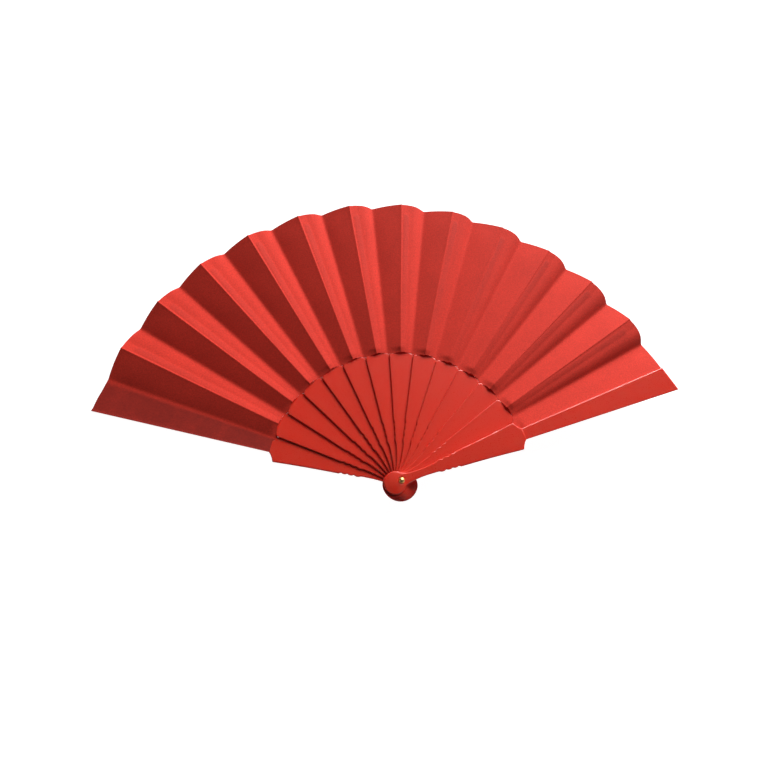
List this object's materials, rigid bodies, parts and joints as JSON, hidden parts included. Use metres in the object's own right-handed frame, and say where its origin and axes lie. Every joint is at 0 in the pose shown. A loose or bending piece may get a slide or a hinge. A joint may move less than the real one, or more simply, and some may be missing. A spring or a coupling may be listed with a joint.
{
  "type": "folding hand fan",
  "caption": "Folding hand fan lying open: flat plastic sticks on one brass rivet, carrying a pleated fabric leaf that folds flat as the sticks close.",
  "frame": {"origin": "on the rivet's axis, in the plane that the open fan lies on (the rear guard's outer face)", "axes": "+Z out of the fan's front face, along the rivet; +Y up the middle of the open fan; +X towards the front guard"},
  "size_m": [0.4227, 0.2306, 0.0217],
  "materials": {
    "stick_plastic": "satin-glossy moulded plastic, solid red",
    "leaf_fabric": "thin plain-woven polyester, red, pressed into pleats",
    "rivet_brass": "polished brass-plated pin head"
  },
  "bodies": {
    "rear_guard": {"rear_guard": "stick_plastic", "leaf_panel_00": "leaf_fabric", "rivet": "rivet_brass", "leaf_fold_00": "leaf_fabric"},
    "stick_01": {"stick_01": "stick_plastic", "leaf_panel_01": "leaf_fabric", "leaf_fold_01": "leaf_fabric"},
    "stick_02": {"stick_02": "stick_plastic", "leaf_panel_02": "leaf_fabric", "leaf_fold_02": "leaf_fabric"},
    "stick_03": {"stick_03": "stick_plastic", "leaf_panel_03": "leaf_fabric", "leaf_fold_03": "leaf_fabric"},
    "stick_04": {"stick_04": "stick_plastic", "leaf_panel_04": "leaf_fabric", "leaf_fold_04": "leaf_fabric"},
    "stick_05": {"stick_05": "stick_plastic", "leaf_panel_05": "leaf_fabric", "leaf_fold_05": "leaf_fabric"},
    "stick_06": {"stick_06": "stick_plastic", "leaf_panel_06": "leaf_fabric", "leaf_fold_06": "leaf_fabric"},
    "stick_07": {"stick_07": "stick_plastic", "leaf_panel_07": "leaf_fabric", "leaf_fold_07": "leaf_fabric"},
    "stick_08": {"stick_08": "stick_plastic", "leaf_panel_08": "leaf_fabric", "leaf_fold_08": "leaf_fabric"},
    "stick_09": {"stick_09": "stick_plastic", "leaf_panel_09": "leaf_fabric", "leaf_fold_09": "leaf_fabric"},
    "stick_10": {"stick_10": "stick_plastic", "leaf_panel_10": "leaf_fabric", "leaf_fold_10": "leaf_fabric"},
    "stick_11": {"stick_11": "stick_plastic", "leaf_panel_11": "leaf_fabric", "leaf_fold_11": "leaf_fabric"},
    "stick_12": {"stick_12": "stick_plastic", "leaf_panel_12": "leaf_fabric", "leaf_fold_12": "leaf_fabric"},
    "front_guard": {"front_guard": "stick_plastic", "leaf_panel_13": "leaf_fabric"}
  },
  "joints": [
    {"name": "stick_01_turn", "type": "hinge", "parent": "rear_guard", "child": "stick_01", "pos_m": [0, 0, 0], "axis": [0, 0, 1], "range_deg": [0, 11], "deforming": ["leaf_fold_00"]},
    {"name": "stick_02_turn", "type": "hinge", "parent": "stick_01", "child": "stick_02", "pos_m": [0, 0, 0], "axis": [0, 0, 1], "range_deg": [0, 11], "deforming": ["leaf_fold_01"]},
    {"name": "stick_03_turn", "type": "hinge", "parent": "stick_02", "child": "stick_03", "pos_m": [0, 0, 0], "axis": [0, 0, 1], "range_deg": [0, 11], "deforming": ["leaf_fold_02"]},
    {"name": "stick_04_turn", "type": "hinge", "parent": "stick_03", "child": "stick_04", "pos_m": [0, 0, 0], "axis": [0, 0, 1], "range_deg": [0, 11], "deforming": ["leaf_fold_03"]},
    {"name": "stick_05_turn", "type": "hinge", "parent": "stick_04", "child": "stick_05", "pos_m": [0, 0, 0], "axis": [0, 0, 1], "range_deg": [0, 11], "deforming": ["leaf_fold_04"]},
    {"name": "stick_06_turn", "type": "hinge", "parent": "stick_05", "child": "stick_06", "pos_m": [0, 0, 0], "axis": [0, 0, 1], "range_deg": [0, 11], "deforming": ["leaf_fold_05"]},
    {"name": "stick_07_turn", "type": "hinge", "parent": "stick_06", "child": "stick_07", "pos_m": [0, 0, 0], "axis": [0, 0, 1], "range_deg": [0, 11], "deforming": ["leaf_fold_06"]},
    {"name": "stick_08_turn", "type": "hinge", "parent": "stick_07", "child": "stick_08", "pos_m": [0, 0, 0], "axis": [0, 0, 1], "range_deg": [0, 11], "deforming": ["leaf_fold_07"]},
    {"name": "stick_09_turn", "type": "hinge", "parent": "stick_08", "child": "stick_09", "pos_m": [0, 0, 0], "axis": [0, 0, 1], "range_deg": [0, 11], "deforming": ["leaf_fold_08"]},
    {"name": "stick_10_turn", "type": "hinge", "parent": "stick_09", "child": "stick_10", "pos_m": [0, 0, 0], "axis": [0, 0, 1], "range_deg": [0, 11], "deforming": ["leaf_fold_09"]},
    {"name": "stick_11_turn", "type": "hinge", "parent": "stick_10", "child": "stick_11", "pos_m": [0, 0, 0], "axis": [0, 0, 1], "range_deg": [0, 11], "deforming": ["leaf_fold_10"]},
    {"name": "stick_12_turn", "type": "hinge", "parent": "stick_11", "child": "stick_12", "pos_m": [0, 0, 0], "axis": [0, 0, 1], "range_deg": [0, 11], "deforming": ["leaf_fold_11"]},
    {"name": "front_guard_turn", "type": "hinge", "parent": "stick_12", "child": "front_guard", "pos_m": [0, 0, 0], "axis": [0, 0, 1], "range_deg": [0, 12.65], "deforming": ["leaf_fold_12"]}
  ],
  "couplings": [
    {"joint": "stick_02_turn", "follows": "stick_01_turn", "ratio": 1},
    {"joint": "stick_03_turn", "follows": "stick_01_turn", "ratio": 1},
    {"joint": "stick_04_turn", "follows": "stick_01_turn", "ratio": 1},
    {"joint": "stick_05_turn", "follows": "stick_01_turn", "ratio": 1},
    {"joint": "stick_06_turn", "follows": "stick_01_turn", "ratio": 1},
    {"joint": "stick_07_turn", "follows": "stick_01_turn", "ratio": 1},
    {"joint": "stick_08_turn", "follows": "stick_01_turn", "ratio": 1},
    {"joint": "stick_09_turn", "follows": "stick_01_turn", "ratio": 1},
    {"joint": "stick_10_turn", "follows": "stick_01_turn", "ratio": 1},
    {"joint": "stick_11_turn", "follows": "stick_01_turn", "ratio": 1},
    {"joint": "stick_12_turn", "follows": "stick_01_turn", "ratio": 1},
    {"joint": "front_guard_turn", "follows": "stick_01_turn", "ratio": 1.15}
  ]
}
